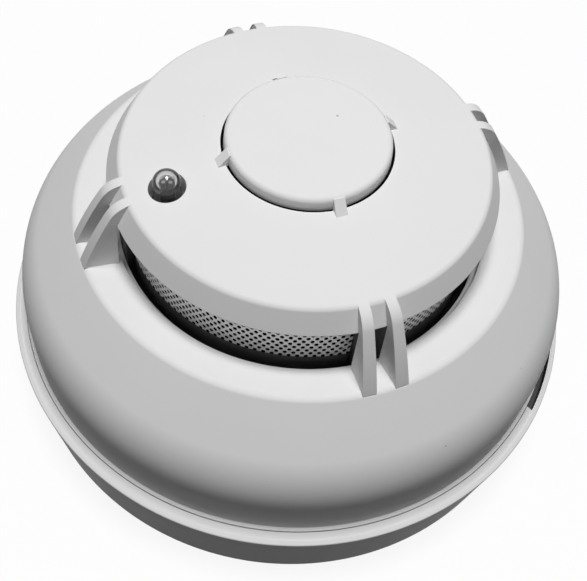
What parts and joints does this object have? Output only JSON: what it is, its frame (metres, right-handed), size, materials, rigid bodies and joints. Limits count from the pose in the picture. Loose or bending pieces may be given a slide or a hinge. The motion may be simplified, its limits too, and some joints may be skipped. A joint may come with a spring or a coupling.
{
  "type": "smoke detector",
  "caption": "Round smoke detector: a domed white head with a mesh smoke inlet under a flat cap, a press-to-test disc and a clear indicator lamp, twist-locked to a ceiling base.",
  "frame": {"origin": "middle of the base's flat back face", "axes": "+Z out of the detector's face, +X through the release notch's side, lying on its back"},
  "size_m": [0.115, 0.115, 0.063],
  "materials": {
    "white_plastic": "satin white moulding",
    "grey_plastic": "satin moulding",
    "black_plastic": "matt black moulding",
    "brass": "rolled",
    "steel": "zinc plated",
    "screen_steel": "perforated",
    "tin_plate": "tinned",
    "can_aluminium": "drawn can",
    "seal_rubber": "matt",
    "board_laminate": "solder mask",
    "chip_resin": "moulded resin",
    "dark_resin": "tinted resin",
    "clear_resin": "clear resin"
  },
  "bodies": {
    "base": {"mounting_base": "white_plastic", "terminal_inserts": "brass", "contact_springs": "brass", "clamp_washers": "steel", "terminal_screws": "steel"},
    "head": {"outer_cover": "white_plastic", "rear_chassis": "grey_plastic", "contact_blades": "brass", "cover_screws": "steel", "board_screws": "steel", "return_spring": "steel", "cover_gasket": "seal_rubber", "circuit_board": "board_laminate", "control_chip": "chip_resin", "resistors": "chip_resin", "capacitors": "can_aluminium", "amplifier_shield": "tin_plate", "chamber_floor": "black_plastic", "chamber_lid": "black_plastic", "led_spacer": "black_plastic", "infrared_emitter": "dark_resin", "photodiode": "dark_resin", "insect_screen": "screen_steel", "indicator_led": "clear_resin"},
    "button": {"test_button": "white_plastic", "scatter_pin": "steel", "retaining_ring": "steel"}
  },
  "joints": [
    {"name": "head_twist", "type": "hinge", "parent": "base", "child": "head", "pos_m": [0, 0, 0], "axis": [0, 0, 1], "range_deg": [0, 18]},
    {"name": "button_press", "type": "slide", "parent": "head", "child": "button", "axis": [0, 0, -1], "range_m": [0, 0.0015], "stiffness_N_per_m": 1500, "springref_m": -0.001, "deforming": ["return_spring"]}
  ]
}
